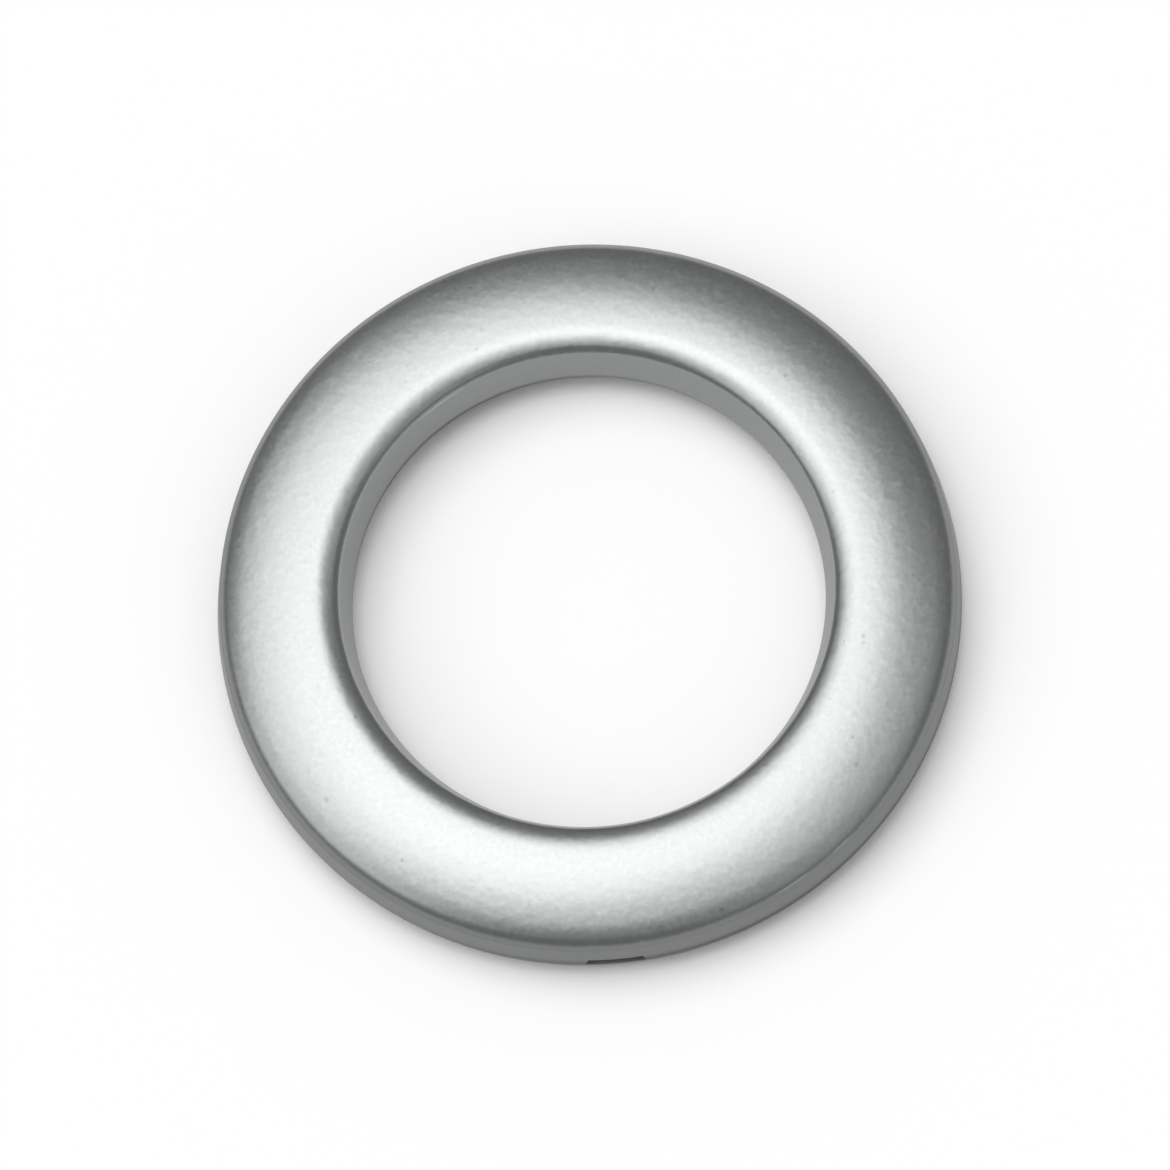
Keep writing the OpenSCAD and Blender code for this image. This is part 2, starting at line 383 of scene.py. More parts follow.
turn_tree, turn_in, turn_out = new_tree(
    "turned ring", "GeometryNodeTree",
    [("Outlines", "Geometry"), ("Number", "Int", 0), ("Spine Radius", "Float", BORE_R * MM),
     ("Steps", "Int", RING_STEPS)], [("Mesh", "Geometry")])
ring_curve = add(turn_tree, "GeometryNodeGroup", node_tree=pick_tree)
for label in ("Outlines", "Number", "Spine Radius"):
    turn_tree.links.new(turn_in.outputs[label], ring_curve.inputs[label])
spine = add(turn_tree, "GeometryNodeCurvePrimitiveCircle",
            {"Resolution": turn_in.outputs["Steps"], "Radius": turn_in.outputs["Spine Radius"]}, mode="RADIUS")
swept = add(turn_tree, "GeometryNodeCurveToMesh",
            {"Curve": spine.outputs["Curve"], "Profile Curve": ring_curve.outputs["Curve"]})
turn_tree.links.new(swept.outputs["Mesh"], turn_out.inputs["Mesh"])
print("tree:", turn_tree.name)

# %% A tree that sets out copies at even angles
spread_tree, spread_in, spread_out = new_tree(
    "even copies", "GeometryNodeTree",
    [("Mesh", "Geometry"), ("Count", "Int", RIB_COUNT), ("First Angle", "Float", 0.0)], [("Mesh", "Geometry")])
spots = add(spread_tree, "GeometryNodePoints", {"Count": spread_in.outputs["Count"]})
pitch = calc(spread_tree, "DIVIDE", 2 * math.pi, spread_in.outputs["Count"])
index = add(spread_tree, "GeometryNodeInputIndex")
angle = calc(spread_tree, "MULTIPLY_ADD", index.outputs["Index"], pitch, spread_in.outputs["First Angle"])
turn = add(spread_tree, "ShaderNodeCombineXYZ", {"Z": angle})
copies = add(spread_tree, "GeometryNodeInstanceOnPoints",
             {"Points": spots.outputs[0], "Instance": spread_in.outputs["Mesh"], "Rotation": turn.outputs[0]})
real = add(spread_tree, "GeometryNodeRealizeInstances", {"Geometry": copies.outputs["Instances"]})
spread_tree.links.new(real.outputs["Geometry"], spread_out.inputs["Mesh"])
print("tree:", spread_tree.name)

# %% A tree that ends a moulding: shading and material
CREASE_ANGLE = math.radians(32)
WELD_DISTANCE = 1e-6

end_tree, end_in, end_out = new_tree(
    "finish moulding", "GeometryNodeTree",
    [("Mesh", "Geometry"), ("Edge Angle", "Float", CREASE_ANGLE), ("Material", "Material")],
    [("Mesh", "Geometry")])
merged = add(end_tree, "GeometryNodeMergeByDistance",
             {"Geometry": end_in.outputs["Mesh"], "Distance": WELD_DISTANCE})
smooth = add(end_tree, "GeometryNodeSetShadeSmooth", {"Geometry": merged.outputs["Geometry"]}, domain="FACE")
edge_angle = add(end_tree, "GeometryNodeInputMeshEdgeAngle")
sharp = calc(end_tree, "GREATER_THAN", edge_angle.outputs["Unsigned Angle"], end_in.outputs["Edge Angle"])
crisp = add(end_tree, "GeometryNodeSetShadeSmooth",
            {"Geometry": smooth.outputs["Geometry"], "Selection": sharp, "Shade Smooth": False}, domain="EDGE")
one = add(end_tree, "GeometryNodeRealizeInstances", {"Geometry": crisp.outputs["Geometry"]})
coated = add(end_tree, "GeometryNodeSetMaterial",
             {"Geometry": one.outputs["Geometry"], "Material": end_in.outputs["Material"]})
end_tree.links.new(coated.outputs["Geometry"], end_out.inputs["Mesh"])
print("tree:", end_tree.name)

# %% Helpers that build a piece and measure it
def size_inputs(lengths, counts):
    """The input sockets of a moulding's tree, with its sizes as their defaults."""
    return ([("Outlines", "Geometry")] + [(label, "Float", length) for label, length in lengths.items()]
            + [(label, "Int", count) for label, count in counts.items()] + [("Material", "Material")])


def put_in_scene(name, data):
    """Makes an object of a mesh, a lamp or a camera, and links it to the scene."""
    made = bpy.data.objects.new(name, data)
    bpy.context.scene.collection.objects.link(made)
    return made


def build_piece(name, outlines, tree, sizes):
    """Runs a tree on outlines and returns a plain mesh object, with no modifier left on it."""
    source = put_in_scene(name + "_source", outline_mesh(name + "_outlines", outlines))
    modifier = source.modifiers.new("build", "NODES")
    modifier.node_group = tree
    for item in tree.interface.items_tree:
        if item.item_type == "SOCKET" and item.in_out == "INPUT" and item.name in sizes:
            modifier[item.identifier] = sizes[item.name]
    evaluated = source.evaluated_get(bpy.context.evaluated_depsgraph_get())
    mesh = bpy.data.meshes.new_from_object(evaluated)
    mesh.name = name
    bpy.data.objects.remove(source)
    return put_in_scene(name, mesh)


def report_piece(piece):
    """Prints the piece's size, and says whether its shell is closed and faces outwards."""
    made = bmesh.new()
    made.from_mesh(piece.data)
    loose = sum(1 for e in made.edges if len(e.link_faces) != 2)
    triangles = sum(len(f.verts) - 2 for f in made.faces)
    print(piece.name, "size", [round(v * 1000, 3) for v in piece.dimensions], "mm,", triangles, "triangles,",
          loose, "open edges, volume", round(made.calc_volume(signed=True) * 1e9, 1), "mm3")
    made.free()


# %% [markdown]
# ## The satin silver coat
# The real rings are plastic with a sprayed silver coat. It dries slightly wavy, like the peel of an orange,
# with a fine grain of metal flakes and a few tiny specks where dust was caught. Noise in object coordinates
# gives all three, so they sit still on the piece. The waves show mostly by their height, and the grain is
# stronger where they are high, so it looks patchy. Picture textures could do it too, but they would need
# unwrapping and would show their pixels close up.

# %% A shader group for the sprayed grain
PEEL_DETAIL = 1.5
GRAIN_DETAIL = 2.0

spray_tree, spray_in, spray_out = new_tree(
    "sprayed grain", "ShaderNodeTree",
    [("Peel Size", "Float", 0.001), ("Grain Size", "Float", 0.00045), ("Speck Pitch", "Float", 0.0016),
     ("Speck Size", "Float", 0.00034), ("Tone Depth", "Float", 0.3)],
    [("Tone", "Float"), ("Roughness Shift", "Float"), ("Height", "Float")])
place = add(spray_tree, "ShaderNodeTexCoord").outputs["Object"]


def noise(size, detail):
    """Noise of a given size in metres, about zero."""
    scale = calc(spray_tree, "DIVIDE", 1.0, spray_in.outputs[size])
    made = add(spray_tree, "ShaderNodeTexNoise", {"Vector": place, "Scale": scale, "Detail": detail})
    return calc(spray_tree, "SUBTRACT", made.outputs["Fac"], 0.5)


peel, grain = noise("Peel Size", PEEL_DETAIL), noise("Grain Size", GRAIN_DETAIL)
print("shader group:", spray_tree.name)

# %% [markdown]
# Specks come from a cell pattern: each cell holds one point, and only the cells with a high random number
# keep theirs. A speck is a shallow dimple that is a little darker than the coat round it.

# %% Specks, tone and height
LUCKY_FROM = 0.68
SMALLEST_SPECK = 1e-4
GRAIN_ON_WAVES = 4.0
WAVES_IN_TONE = 0.14
GRAIN_IN_HEIGHT = 0.15
SPECK_TONE = -0.3
SPECK_HEIGHT = -0.4
FLAKE_ROUGHNESS = 0.06

cells = add(spray_tree, "ShaderNodeTexVoronoi",
            {"Vector": place, "Scale": calc(spray_tree, "DIVIDE", 1.0, spray_in.outputs["Speck Pitch"])})
luck = add(spray_tree, "ShaderNodeSeparateColor", {"Color": cells.outputs["Color"]}).outputs["Red"]
kept = add(spray_tree, "ShaderNodeMapRange", {"Value": luck, "From Min": LUCKY_FROM}).outputs["Result"]
largest = calc(spray_tree, "DIVIDE", spray_in.outputs["Speck Size"], spray_in.outputs["Speck Pitch"])
speck_size = calc(spray_tree, "MAXIMUM", calc(spray_tree, "MULTIPLY", largest, kept), SMALLEST_SPECK)
speck = one_minus(spray_tree, calc(spray_tree, "DIVIDE", cells.outputs["Distance"], speck_size), clamp=True)
patchiness = calc(spray_tree, "MULTIPLY_ADD", peel, GRAIN_ON_WAVES, 1.0)
patchy_grain = calc(spray_tree, "MULTIPLY", grain, patchiness)
flake = calc(spray_tree, "MULTIPLY_ADD", peel, WAVES_IN_TONE, patchy_grain)
tone = calc(spray_tree, "MULTIPLY_ADD", flake, spray_in.outputs["Tone Depth"], 1.0)
wave = calc(spray_tree, "MULTIPLY_ADD", grain, GRAIN_IN_HEIGHT, peel)
for made, label in ((calc(spray_tree, "MULTIPLY_ADD", speck, SPECK_TONE, tone), "Tone"),
                    (calc(spray_tree, "MULTIPLY", flake, FLAKE_ROUGHNESS), "Roughness Shift"),
                    (calc(spray_tree, "MULTIPLY_ADD", speck, SPECK_HEIGHT, wave), "Height")):
    spray_tree.links.new(made, spray_out.inputs[label])
print("steps in the spray group:", len(spray_tree.nodes))

# %% [markdown]
# The spray is blown at the show side from above the hole. A surface that faces away from the middle of the
# channel gets it, and one that faces the middle stays bare. In the photograph the walls are darker than the
# face, the outer wall most of all, the lip of the hole is a little lighter than its wall, and a thin dark
# line runs low down on the side away from the key lamp. That is light and shade, and each has a mask here
# that paints it: painted shade on the walls and along the low edge, painted light on the lip. A mask could be
# painted by hand instead, but these need only the surface's own place and normal, so they work on any turned
# part.

# %% A shader group for how far the spray reaches, and for painted shade and light
spray_and_shade_tree, spray_and_shade_in, spray_and_shade_out = new_tree(
    "spray reach and painted shade", "ShaderNodeTree",
    [("Channel Radius", "Float", 0.0275), ("Channel Height", "Float", 0.0035),
     ("Edge Height", "Float", 0.0026)],
    [(label, "Float") for label in ("Coat", "Hole Wall", "Outer Wall", "Lip", "Lee Edge")])
surface = add(spray_and_shade_tree, "ShaderNodeTexCoord").outputs
where = add(spray_and_shade_tree, "ShaderNodeSeparateXYZ", {"Vector": surface["Object"]}).outputs
flat = add(spray_and_shade_tree, "ShaderNodeCombineXYZ", {"X": where["X"], "Y": where["Y"]}).outputs[0]
radius = vector_calc(spray_and_shade_tree, "LENGTH", flat)
side_part = calc(spray_and_shade_tree, "SUBTRACT", radius, spray_and_shade_in.outputs["Channel Radius"])
outwards = vector_calc(spray_and_shade_tree, "SCALE", vector_calc(spray_and_shade_tree, "NORMALIZE", flat), scale=side_part)
up_part = calc(spray_and_shade_tree, "SUBTRACT", where["Z"], spray_and_shade_in.outputs["Channel Height"])
upwards = add(spray_and_shade_tree, "ShaderNodeCombineXYZ", {"Z": up_part}).outputs[0]
from_middle = vector_calc(spray_and_shade_tree, "NORMALIZE", vector_calc(spray_and_shade_tree, "ADD", outwards, upwards))
away = vector_calc(spray_and_shade_tree, "DOT_PRODUCT", from_middle, surface["Normal"])
normal = add(spray_and_shade_tree, "ShaderNodeSeparateXYZ", {"Vector": surface["Normal"]}).outputs
facing = calc(spray_and_shade_tree, "ABSOLUTE", normal["Z"])
print("shader group:", spray_and_shade_tree.name)

# %% The masks of that group
COAT_RAMP = (-0.05, 0.15)
# The hole wall and outer wall masks carry painted shade, as well as a calmer grain and a rougher coat.
HOLE_WALL_RAMP = (0.15, 0.65)
OUTER_WALL_RAMP = (0.3, 0.9)
LIP_RAMP = (0.3, 0.95)
LOW_EDGE_SHADE_RAMP = (0.5 * MM, 1.3 * MM)
SHADED_SIDE_ANGLE = 315
HUMP = 4.0


def soft_step(value, low, high):
    """Rises softly from nought to one while the value goes from low to high."""
    return add(spray_and_shade_tree, "ShaderNodeMapRange", {"Value": value, "From Min": low, "From Max": high},
               interpolation_type="SMOOTHSTEP").outputs["Result"]


outside = calc(spray_and_shade_tree, "GREATER_THAN", side_part, 0.0)
inside = one_minus(spray_and_shade_tree, outside)
# Painted light on the lip of the hole: a hump that is strongest halfway round the lip's curve.
over_lip = soft_step(facing, *LIP_RAMP)
# Four times a share times the rest of it is one halfway and nought at both ends.
lip_light_hump = calc(spray_and_shade_tree, "MULTIPLY", calc(spray_and_shade_tree, "MULTIPLY", over_lip, HUMP),
                one_minus(spray_and_shade_tree, over_lip))
# Painted shade low down on the walls, on the side that faces away from the key lamp.
above_edge = calc(spray_and_shade_tree, "SUBTRACT", where["Z"], spray_and_shade_in.outputs["Edge Height"])
low_down = one_minus(spray_and_shade_tree, soft_step(above_edge, *LOW_EDGE_SHADE_RAMP))
shaded_side = vector_calc(spray_and_shade_tree, "DOT_PRODUCT", surface["Normal"], (*at(SHADED_SIDE_ANGLE), 0))
masks = {"Coat": soft_step(away, *COAT_RAMP)}
for label, factors in {
        "Hole Wall": (inside, one_minus(spray_and_shade_tree, soft_step(facing, *HOLE_WALL_RAMP))),
        "Outer Wall": (outside, one_minus(spray_and_shade_tree, soft_step(facing, *OUTER_WALL_RAMP))),
        "Lip": (inside, lip_light_hump),
        "Lee Edge": (low_down, calc(spray_and_shade_tree, "MULTIPLY", shaded_side, 1.0, clamp=True))}.items():
    masks[label] = calc(spray_and_shade_tree, "MULTIPLY", *factors)
for label, mask in masks.items():
    spray_and_shade_tree.links.new(mask, spray_and_shade_out.inputs[label])
print("masks:", list(masks))

# %% [markdown]
# A short bright line where an edge catches the light is painted here, a painted highlight. It lies on a circle
# round the axis, so its place is a radius, a height and an angle, and it fades towards its ends.

# %% A shader group for a painted glint
glint_tree, glint_in, glint_out = new_tree(
    "painted glint", "ShaderNodeTree",
    [("Radius", "Float", 0.021), ("Height", "Float", 0.005), ("Half Width", "Float", 0.0001),
     ("Angle", "Float", 0.0), ("Half Length", "Float", 0.1)], [("Mark", "Float")])


def length_of(a, b):
    """The length of a vector, from its two parts."""
    return calc(glint_tree, "SQRT", calc(glint_tree, "MULTIPLY_ADD", a, a, calc(glint_tree, "MULTIPLY", b, b)))


def fade(distance, limit):
    """One where the distance is nought, and nought from the limit on."""
    return one_minus(glint_tree, calc(glint_tree, "DIVIDE", distance, glint_in.outputs[limit]), clamp=True)


spot = add(glint_tree, "ShaderNodeSeparateXYZ",
           {"Vector": add(glint_tree, "ShaderNodeTexCoord").outputs["Object"]}).outputs
miss_r = calc(glint_tree, "SUBTRACT", length_of(spot["X"], spot["Y"]), glint_in.outputs["Radius"])
miss_z = calc(glint_tree, "SUBTRACT", spot["Z"], glint_in.outputs["Height"])
across = fade(length_of(miss_r, miss_z), "Half Width")
bearing = calc(glint_tree, "ARCTAN2", spot["Y"], spot["X"])
past = calc(glint_tree, "SUBTRACT", bearing, glint_in.outputs["Angle"])
along = fade(calc(glint_tree, "ABSOLUTE", calc(glint_tree, "WRAP", past, math.pi, -math.pi)), "Half Length")
glint_mask = calc(glint_tree, "MULTIPLY", calc(glint_tree, "SQRT", across), calc(glint_tree, "SQRT", along))
glint_tree.links.new(glint_mask, glint_out.inputs["Mark"])
print("shader group:", glint_tree.name)

# %% [markdown]
# The two finishes share the groups. The masks take a share off the silver's brightness as painted shade, or add
# one as painted light, the grain is calmer and the coat rougher on the walls, and where no coat is, the grey of
# the plastic shows. The face has three painted glints, short highlights: one in the hole, where its wall turns
# into the lip, and two on the shoulder.

# %% A finish of sprayed silver
BARE_PLASTIC = (0.2, 0.2, 0.2, 1)
# Shares of painted shade on the walls and along the low edge, and of painted light on the lip.
HOLE_WALL_PAINTED_SHADE = 0.1
OUTER_WALL_PAINTED_SHADE = 0.37
LIP_PAINTED_LIGHT = 0.2
LOW_EDGE_PAINTED_SHADE = 0.6
WALL_ROUGH = 0.1
WALL_CALM = 0.5
BARE_ROUGH = 0.2
WAVE_HEIGHT = 17e-6


def silver_finish(name, silver, rough, channel, edge, glints=()):
    """Sprayed silver on the show side, bare inside; painted shade on walls and low edge, painted light on lip
    and glints. Lengths in mm.
    """
    material = bpy.data.materials.new(name)
    material.use_nodes = True
    tree = material.node_tree
    tree.nodes.clear()
    spray = add(tree, "ShaderNodeGroup", node_tree=spray_tree).outputs
    reach = add(tree, "ShaderNodeGroup",
                {"Channel Radius": channel[0] * MM, "Channel Height": channel[1] * MM,
                 "Edge Height": edge * MM}, node_tree=spray_and_shade_tree).outputs
    # build gathers the painted shade and painted light that scale the silver's brightness.
    build = 1.0
    # Painted shade darkens the walls and painted light brightens the lip.
    for mask, gain in (("Hole Wall", -HOLE_WALL_PAINTED_SHADE), ("Outer Wall", -OUTER_WALL_PAINTED_SHADE), ("Lip", LIP_PAINTED_LIGHT)):
        build = calc(tree, "MULTIPLY_ADD", reach[mask], gain, build)
    # Painted shade along the low edge, on the side away from the key lamp.
    build = calc(tree, "MULTIPLY", build, calc(tree, "MULTIPLY_ADD", reach["Lee Edge"], -LOW_EDGE_PAINTED_SHADE, 1.0))
    # Painted highlights: short glints where an edge catches the light.
    for glint_r, glint_z, half_width, angle, half_length, gain in glints:
        glint_node = add(tree, "ShaderNodeGroup",
                  {"Radius": glint_r * MM, "Height": glint_z * MM, "Half Width": half_width * MM,
                   "Angle": math.radians(angle), "Half Length": math.radians(half_length)}, node_tree=glint_tree)
        build = calc(tree, "MULTIPLY_ADD", glint_node.outputs["Mark"], gain, build)
    on_walls = calc(tree, "ADD", reach["Hole Wall"], reach["Outer Wall"])
    grain_shown = calc(tree, "MULTIPLY_ADD", on_walls, -WALL_CALM, 1.0)
    grain_tone = calc(tree, "MULTIPLY", calc(tree, "SUBTRACT", spray["Tone"], 1.0), grain_shown)
    brightness = calc(tree, "MULTIPLY", calc(tree, "ADD", grain_tone, 1.0), build)
    colour = add(tree, "ShaderNodeMix", {"Factor": reach["Coat"]}, data_type="RGBA")
    ends = [s for s in colour.inputs if s.type == "RGBA"]
    ends[0].default_value = BARE_PLASTIC
    tree.links.new(vector_calc(tree, "SCALE", silver, scale=brightness), ends[1])
    uneven = calc(tree, "ADD", spray["Roughness Shift"], rough)
    rougher_walls = calc(tree, "MULTIPLY_ADD", on_walls, WALL_ROUGH, uneven)
    roughness = calc(tree, "MULTIPLY_ADD", one_minus(tree, reach["Coat"]), BARE_ROUGH, rougher_walls)
    bump = add(tree, "ShaderNodeBump",
               {"Strength": 1.0, "Distance": WAVE_HEIGHT,
                "Height": calc(tree, "MULTIPLY", spray["Height"], grain_shown)})
    shader = add(tree, "ShaderNodeBsdfPrincipled",
                 {"Base Color": [s for s in colour.outputs if s.type == "RGBA"][0], "Metallic": reach["Coat"],
                  "Roughness": roughness, "Normal": bump.outputs["Normal"]})
    add(tree, "ShaderNodeOutputMaterial", {"Surface": shader.outputs["BSDF"]})
    return material


# %% The two finishes
FACE_SILVER = (0.322, 0.33, 0.327)
BACK_SILVER = (0.3, 0.307, 0.304)
CHANNEL_R = 27.5
# With its edge height set below the back ring, the painted shade along the low edge is all but off it.
NO_EDGE = -1.0
# A painted glint's radius, height and half width in mm, its angle and half length in degrees, and its strength.
PAINTED_GLINTS = ((21.72, 6.95, 0.13, 122.5, 7.0, 0.5),
        (32.26, 6.34, 0.11, 309.2, 2.0, 0.5),
        (32.31, 6.28, 0.11, 299.4, 3.2, 0.45))

face_silver = silver_finish(
    "satin_silver_face", FACE_SILVER, rough=0.33, channel=(CHANNEL_R, 3.6), edge=RIM_Z, glints=PAINTED_GLINTS)
back_silver = silver_finish(
    "satin_silver_back", BACK_SILVER, rough=0.37, channel=(CHANNEL_R, 2.0), edge=NO_EDGE)
print("finishes:", face_silver.name, back_silver.name)

# %% [markdown]
# ## The face ring
# On the real eyelet this is one hollow moulding: the crowned face, the outer wall, the wall of the hole
# with its snap bead, ribs under the face, and a notch in the lower rim for a blade that parts the rings.
# The tree sweeps the outline, joins the ribs to it and cuts the notch, in the order a toolmaker would.

# %% The tree of the face ring
FACE_LENGTHS = {"Spine Radius": BORE_R * MM, "Rib Width": RIB_WIDTH * MM, "Rib Radius": RIB_IN_R * MM,
                "Notch From": (OUTER_R - NOTCH_DEPTH) * MM, "Notch To": (OUTER_R + CUT_PAST) * MM,
                "Rim Height": RIM_Z * MM}
FACE_COUNTS = {"Steps": RING_STEPS, "Rib Count": RIB_COUNT}
RIB_STEPS = 3
# The ring's own outline is number 0 in the list that build_piece gets.
RIB_OUTLINE, NOTCH_OUTLINE = 1, 2

face_tree, face_in, face_out = new_tree(
    "face ring", "GeometryNodeTree", size_inputs(FACE_LENGTHS, FACE_COUNTS), [("Mesh", "Geometry")])
shell = add(face_tree, "GeometryNodeGroup",
            {"Outlines": face_in.outputs["Outlines"], "Spine Radius": face_in.outputs["Spine Radius"],
             "Steps": face_in.outputs["Steps"]}, node_tree=turn_tree)
rib_curve = add(face_tree, "GeometryNodeGroup",
                {"Outlines": face_in.outputs["Outlines"], "Number": RIB_OUTLINE,
                 "Spine Radius": face_in.outputs["Spine Radius"]}, node_tree=pick_tree)
rib_span = calc(face_tree, "DIVIDE", face_in.outputs["Rib Width"], face_in.outputs["Rib Radius"])
rib_spine = add(face_tree, "GeometryNodeCurveArc",
                {"Resolution": RIB_STEPS, "Radius": face_in.outputs["Spine Radius"], "Sweep Angle": rib_span,
                 "Start Angle": calc(face_tree, "MULTIPLY", rib_span, -0.5)}, mode="RADIUS")
rib = add(face_tree, "GeometryNodeCurveToMesh",
          {"Curve": rib_spine.outputs["Curve"], "Profile Curve": rib_curve.outputs["Curve"], "Fill Caps": True})
half_pitch = calc(face_tree, "DIVIDE", math.pi, face_in.outputs["Rib Count"])
ribs = add(face_tree, "GeometryNodeGroup",
           {"Mesh": rib.outputs["Mesh"], "Count": face_in.outputs["Rib Count"],
            "First Angle": calc(face_tree, "SUBTRACT", half_pitch, math.pi / 2)}, node_tree=spread_tree)
ribbed = add(face_tree, "GeometryNodeMeshBoolean", operation="UNION", solver="EXACT")
face_tree.links.new(shell.outputs["Mesh"], ribbed.inputs["Mesh 2"])
face_tree.links.new(ribs.outputs["Mesh"], ribbed.inputs["Mesh 2"])
print("parts in the tree of the face ring so far:", len(face_tree.nodes))

# %% The notch, cut last
notch_curve = add(face_tree, "GeometryNodeGroup",
                  {"Outlines": face_in.outputs["Outlines"], "Number": NOTCH_OUTLINE}, node_tree=pick_tree)
near, far = (
    add(face_tree, "ShaderNodeCombineXYZ", {"Y": calc(face_tree, "MULTIPLY", face_in.outputs[label], -1.0)})
    for label in ("Notch From", "Notch To"))
blade = add(face_tree, "GeometryNodeCurvePrimitiveLine", {"Start": near.outputs[0], "End": far.outputs[0]})
cutter = add(face_tree, "GeometryNodeCurveToMesh",
             {"Curve": blade.outputs["Curve"], "Profile Curve": notch_curve.outputs["Curve"],
              "Fill Caps": True})
notched = add(face_tree, "GeometryNodeMeshBoolean",
              {"Mesh 1": ribbed.outputs["Mesh"], "Mesh 2": cutter.outputs["Mesh"]},
              operation="DIFFERENCE", solver="EXACT")
lift = add(face_tree, "ShaderNodeCombineXYZ", {"Z": face_in.outputs["Rim Height"]})
raised = add(face_tree, "GeometryNodeTransform",
             {"Geometry": notched.outputs["Mesh"], "Translation": lift.outputs[0]})
face_end = add(face_tree, "GeometryNodeGroup",
               {"Mesh": raised.outputs["Geometry"], "Material": face_in.outputs["Material"]},
               node_tree=end_tree)
face_tree.links.new(face_end.outputs["Mesh"], face_out.inputs["Mesh"])
print("tree:", face_tree.name)

# %% Build the face ring
face_moulding = build_piece(
    "face_moulding", [face_ring_outline(), rib_outline(), notch_outline()], face_tree,
    {**FACE_LENGTHS, **FACE_COUNTS, "Material": face_silver})
report_piece(face_moulding)

# %% [markdown]
# ## The back ring
# The back ring is a shallow dish with rounded edges. A collar on it is cut into claws that spring over the
# bead of the face ring, and small teeth on its rim hold the cloth. Claws and teeth repeat at even angles,
# so the tree cuts or adds them all from one slot and one tooth.

# %% The tree of the back ring
BACK_LENGTHS = {"Spine Radius": BORE_R * MM, "Slot From": (NOSE_R - CUT_PAST) * MM,
                "Slot To": (CLAW_OUT_R + CUT_PAST) * MM, "Tooth From": TOOTH_IN_R * MM,
                "Tooth To": TOOTH_OUT_R * MM}
BACK_COUNTS = {"Steps": RING_STEPS, "Claw Count": CLAW_COUNT, "Tooth Count": TOOTH_COUNT}
SLOT_OUTLINE, TOOTH_OUTLINE = 1, 2

back_tree, back_in, back_out = new_tree(
    "back ring", "GeometryNodeTree", size_inputs(BACK_LENGTHS, BACK_COUNTS), [("Mesh", "Geometry")])
back_shell = add(back_tree, "GeometryNodeGroup",
                 {"Outlines": back_in.outputs["Outlines"], "Spine Radius": back_in.outputs["Spine Radius"],
                  "Steps": back_in.outputs["Steps"]}, node_tree=turn_tree)


def radial_bar(number, first, last, count, first_angle):
    """Copies of an outline swept outwards along a short line, set out round the axis."""
    curve = add(back_tree, "GeometryNodeGroup",
                {"Outlines": back_in.outputs["Outlines"], "Number": number}, node_tree=pick_tree)
    ends = [add(back_tree, "ShaderNodeCombineXYZ", {"X": back_in.outputs[label]}).outputs[0]
            for label in (first, last)]
    line = add(back_tree, "GeometryNodeCurvePrimitiveLine", {"Start": ends[0], "End": ends[1]})
    bar = add(back_tree, "GeometryNodeCurveToMesh",
              {"Curve": line.outputs["Curve"], "Profile Curve": curve.outputs["Curve"], "Fill Caps": True})
    return add(back_tree, "GeometryNodeGroup",
               {"Mesh": bar.outputs["Mesh"], "Count": back_in.outputs[count], "First Angle": first_angle},
               node_tree=spread_tree)


claw_half_pitch = calc(back_tree, "DIVIDE", math.pi, back_in.outputs["Claw Count"])
slots = radial_bar(SLOT_OUTLINE, "Slot From", "Slot To", "Claw Count", claw_half_pitch)
teeth = radial_bar(TOOTH_OUTLINE, "Tooth From", "Tooth To", "Tooth Count", 0.0)
clawed = add(back_tree, "GeometryNodeMeshBoolean",
             {"Mesh 1": back_shell.outputs["Mesh"], "Mesh 2": slots.outputs["Mesh"]},
             operation="DIFFERENCE", solver="EXACT")
toothed = add(back_tree, "GeometryNodeMeshBoolean", operation="UNION", solver="EXACT")
back_tree.links.new(clawed.outputs["Mesh"], toothed.inputs["Mesh 2"])
back_tree.links.new(teeth.outputs["Mesh"], toothed.inputs["Mesh 2"])
back_end = add(back_tree, "GeometryNodeGroup",
               {"Mesh": toothed.outputs["Mesh"], "Material": back_in.outputs["Material"]}, node_tree=end_tree)
back_tree.links.new(back_end.outputs["Mesh"], back_out.inputs["Mesh"])
print("tree:", back_tree.name)

# %% Build the back ring
back_moulding = build_piece(
    "back_moulding", [back_ring_outline(), slot_outline(), tooth_outline()], back_tree,
    {**BACK_LENGTHS, **BACK_COUNTS, "Material": back_silver})
report_piece(back_moulding)

# %% [markdown]
# ## Tie the pieces to the construction model
# Each piece rides on the body that its moulding belongs to, and takes the place of that node in the picture.

# %% Ride and replace
for piece, body, node, slot in ((face_moulding, "front", "front_ring", "face_finish"),
                                (back_moulding, "back", "back_ring", "back_finish")):
    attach(piece, body)
    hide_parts(node)
    print(piece.name, "rides on", body)

# %% [markdown]
# ## Floor, light and camera
# The photograph is a cut-out on plain white under broad soft light. A pale floor takes the eyelet's soft
# shadow. Rays that come straight from the camera, or by way of a gloss, see it lifted to white, while the
# light that it throws back on the eyelet stays that of plain paper.

# %% The floor
FLOOR_HALF = 1.5
PAPER_TONE = 0.85
PAPER_LIFT = 1.2
floor_mesh = bpy.data.meshes.new("floor")
floor_mesh.from_pydata([(x * FLOOR_HALF, y * FLOOR_HALF, 0) for x, y in ((-1, -1), (1, -1), (1, 1), (-1, 1))],
                       [], [(0, 1, 2, 3)])
floor = put_in_scene("floor", floor_mesh)
paper = bpy.data.materials.new("white_paper")
paper.use_nodes = True
paper_tree = paper.node_tree
paper_tree.nodes.clear()
seen = add(paper_tree, "ShaderNodeLightPath").outputs
lifted = calc(paper_tree, "MAXIMUM", seen["Is Camera Ray"],
              calc(paper_tree, "MAXIMUM", seen["Is Glossy Ray"], seen["Is Transmission Ray"]))
white = calc(paper_tree, "MULTIPLY_ADD", lifted, PAPER_LIFT * PAPER_TONE - PAPER_TONE, PAPER_TONE)
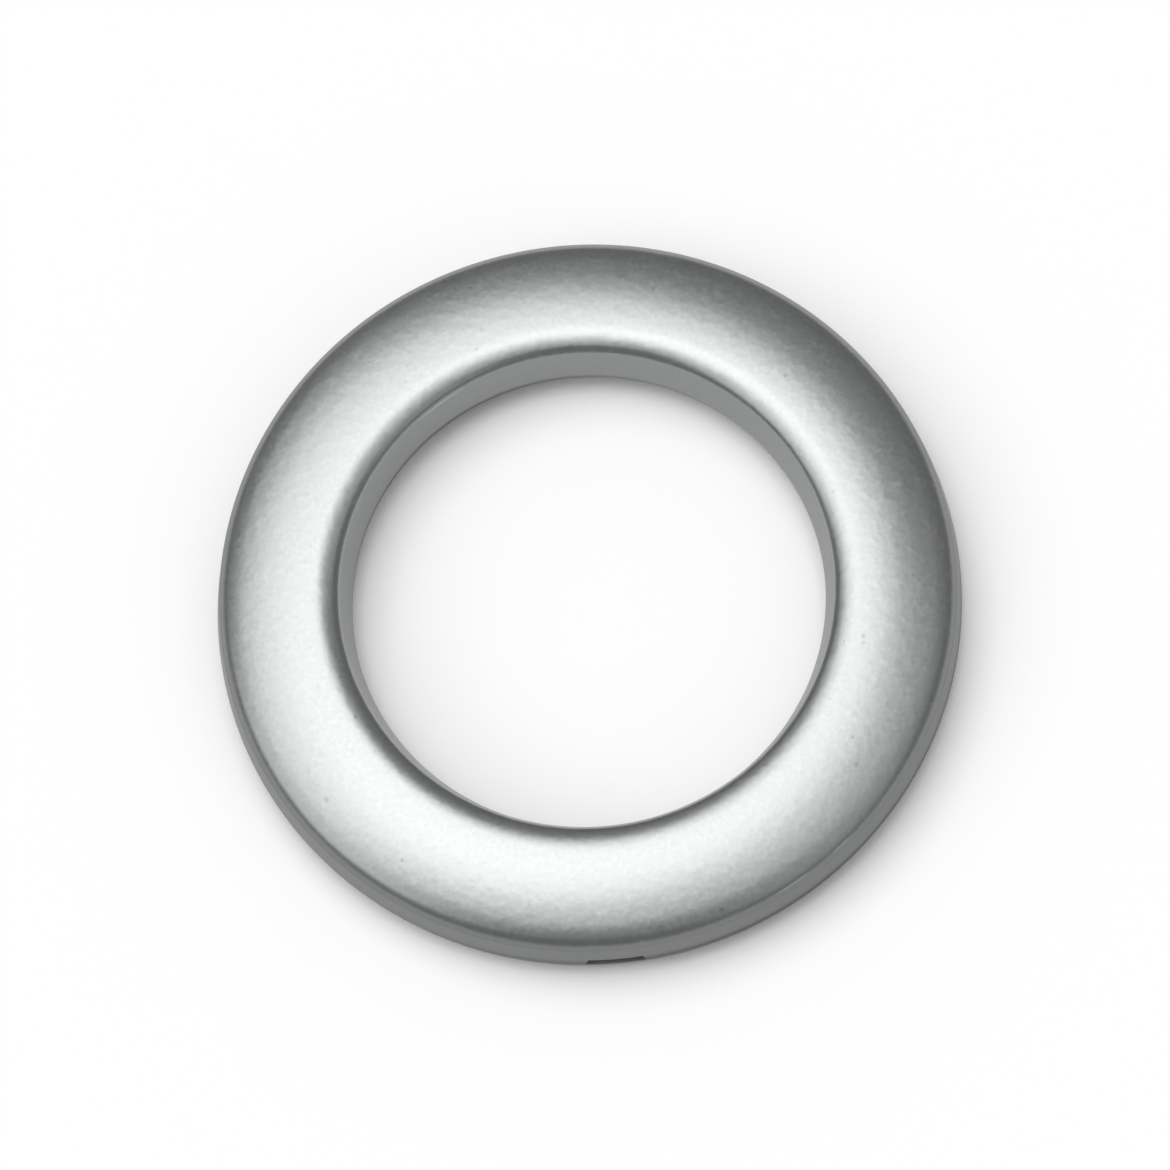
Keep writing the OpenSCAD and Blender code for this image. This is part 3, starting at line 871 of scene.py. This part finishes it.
matt = add(paper_tree, "ShaderNodeBsdfDiffuse", {"Color": white})
add(paper_tree, "ShaderNodeOutputMaterial", {"Surface": matt.outputs[0]})
floor_mesh.materials.append(paper)
print("floor:", 2 * FLOOR_HALF, "m square")

# %% [markdown]
# The light is that of a product table: a broad soft key from the upper left of the picture, a soft lamp
# straight above, weaker ones round about, and a dim even sky. Wide suns give it. Area lamps could do it too,
# but their light falls off across the floor, which would then not stay evenly white in other views.

# %% The lamps
SKY = 0.285
# Each lamp's tilt, azimuth and half width in degrees, and its radiance.
LAMPS = {"key": (18, 126, 23.5, 2.466),
         "overhead": (0, 0, 20.5, 1.152),
         "left": (45, 195, 21.4, 1.239),
         "right": (25, 0, 16, 0.509),
         "front_right": (50, 318, 20.4, 0.382)}


def soft_sun(name, tilt, azimuth, half_width, radiance):
    """A round patch of sky that glows evenly. The tilt is counted from straight above."""
    data = bpy.data.lights.new(name, "SUN")
    data.angle = math.radians(2 * half_width)
    data.energy = radiance * math.pi * math.sin(math.radians(half_width)) ** 2
    towards = Vector((*(math.sin(math.radians(tilt)) * at(azimuth)), math.cos(math.radians(tilt))))
    put_in_scene(name, data).rotation_euler = towards.to_track_quat("Z", "Y").to_euler()


for lamp_name, lamp_values in LAMPS.items():
    soft_sun(lamp_name, *lamp_values)
studio = bpy.data.worlds.new("studio")
studio.use_nodes = True
studio.node_tree.nodes["Background"].inputs["Color"].default_value = (SKY, SKY, SKY, 1)
bpy.context.scene.world = studio

# %% [markdown]
# The camera's place was worked out from the two ovals that the ring's outer edge and its hole make in the
# photograph. It looks down almost along the axis, from the side that the notch is on.

# %% The camera
PHOTO_SIDE = 1170
SEAM = Vector((0, 0, RIM_Z * MM))
TILT, FROM_ANGLE, NOTCH_ANGLE = 17.3, 79.55, 85.4
CAMERA_DISTANCE = 594 * MM
SEAM_PIXEL = (589.0, 602.8)
OUTER_R_PIXELS = 372.4
SCALE_AT_SEAM = OUTER_R_PIXELS / (OUTER_R * MM)
SENSOR_WIDTH = 36
CLIP_NEAR, CLIP_FAR = 0.01, 20

tilt, from_angle = math.radians(TILT), math.radians(FROM_ANGLE)
right = Vector((math.cos(tilt) * math.cos(from_angle) ** 2 + math.sin(from_angle) ** 2,
                -(math.cos(tilt) - 1) * math.sin(from_angle) * math.cos(from_angle),
                -math.sin(tilt) * math.cos(from_angle)))
towards_camera = Vector((math.sin(tilt) * math.cos(from_angle), -math.sin(tilt) * math.sin(from_angle),
                         math.cos(tilt)))
up = towards_camera.cross(right)
turn_to_notch = Matrix.Rotation(math.radians(NOTCH_ANGLE - 90), 3, "Z")
right, up, towards_camera = (turn_to_notch @ v for v in (right, up, towards_camera))

camera_data = bpy.data.cameras.new("photo_camera")
camera_data.sensor_width = SENSOR_WIDTH
camera_data.lens = SCALE_AT_SEAM * CAMERA_DISTANCE * SENSOR_WIDTH / PHOTO_SIDE
camera_data.clip_start, camera_data.clip_end = CLIP_NEAR, CLIP_FAR
camera = put_in_scene("photo_camera", camera_data)
side_step = (PHOTO_SIDE / 2 - SEAM_PIXEL[0]) / SCALE_AT_SEAM
up_step = (SEAM_PIXEL[1] - PHOTO_SIDE / 2) / SCALE_AT_SEAM
eye = SEAM + towards_camera * CAMERA_DISTANCE + right * side_step + up * up_step
camera.matrix_world = Matrix.Translation(eye) @ Matrix((right, up, towards_camera)).transposed().to_4x4()
bpy.context.scene.camera = camera
print("lens:", round(camera_data.lens, 1), "mm")

# %% Picture settings
bpy.context.scene.view_settings.view_transform = "Standard"
